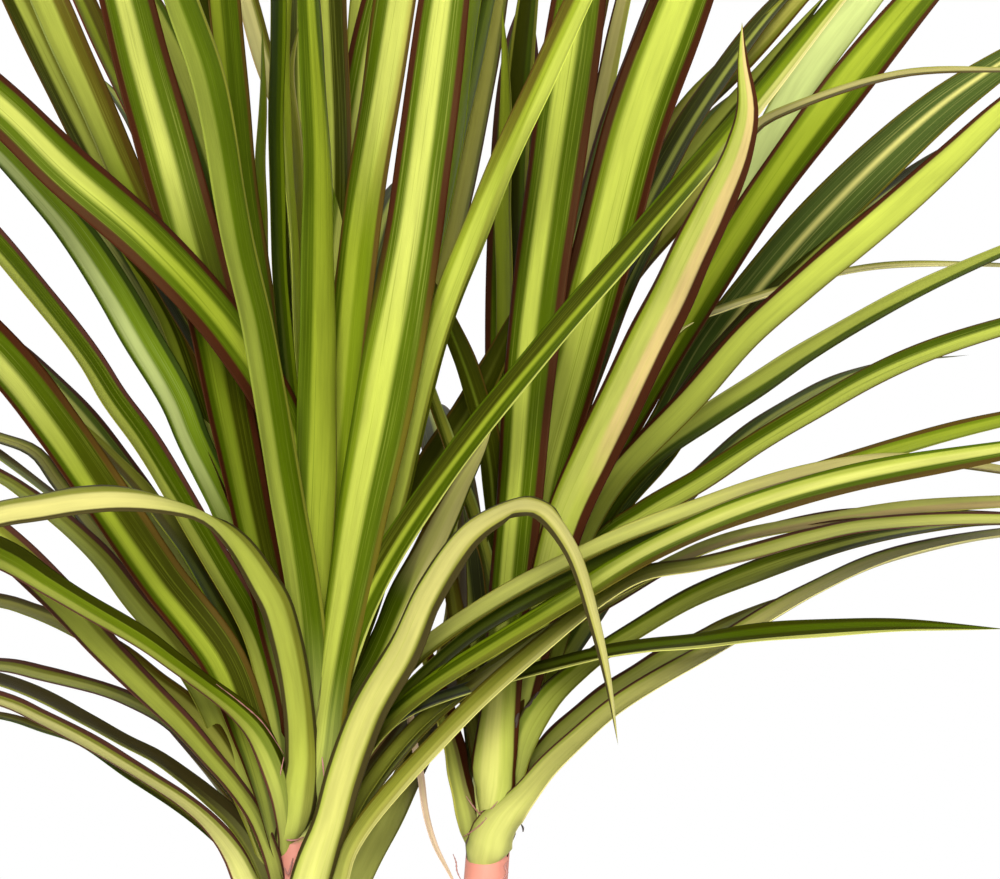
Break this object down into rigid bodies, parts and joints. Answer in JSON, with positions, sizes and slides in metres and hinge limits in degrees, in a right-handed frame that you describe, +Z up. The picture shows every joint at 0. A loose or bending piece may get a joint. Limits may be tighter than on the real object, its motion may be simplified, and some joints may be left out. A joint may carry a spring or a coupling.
{
  "type": "potted sunray madagascar dragon tree",
  "caption": "Potted dragon tree: woody canes in a round nursery pot, each topped by a crown of long arching strap leaves, yellow with green bands and red edges.",
  "frame": {"origin": "the middle of the pot's flat underside", "axes": "+Z up through the pot, +X from the left cane to the right cane, -Y towards the viewer"},
  "size_m": [0.7281, 0.5324, 0.7806],
  "materials": {
    "pot": "moulded, satin-matte terracotta brown",
    "soil": "crumbly potting mix of peat and bark",
    "cane": "smooth young bark ringed by leaf scars, salmon at the top",
    "leaf": "waxy striped leaf with a soft sheen"
  },
  "bodies": {
    "root": {"pot": "pot", "soil": "soil", "cane_left": "cane", "cane_right": "cane", "crown_left": "leaf", "crown_right": "leaf"}
  },
  "joints": []
}
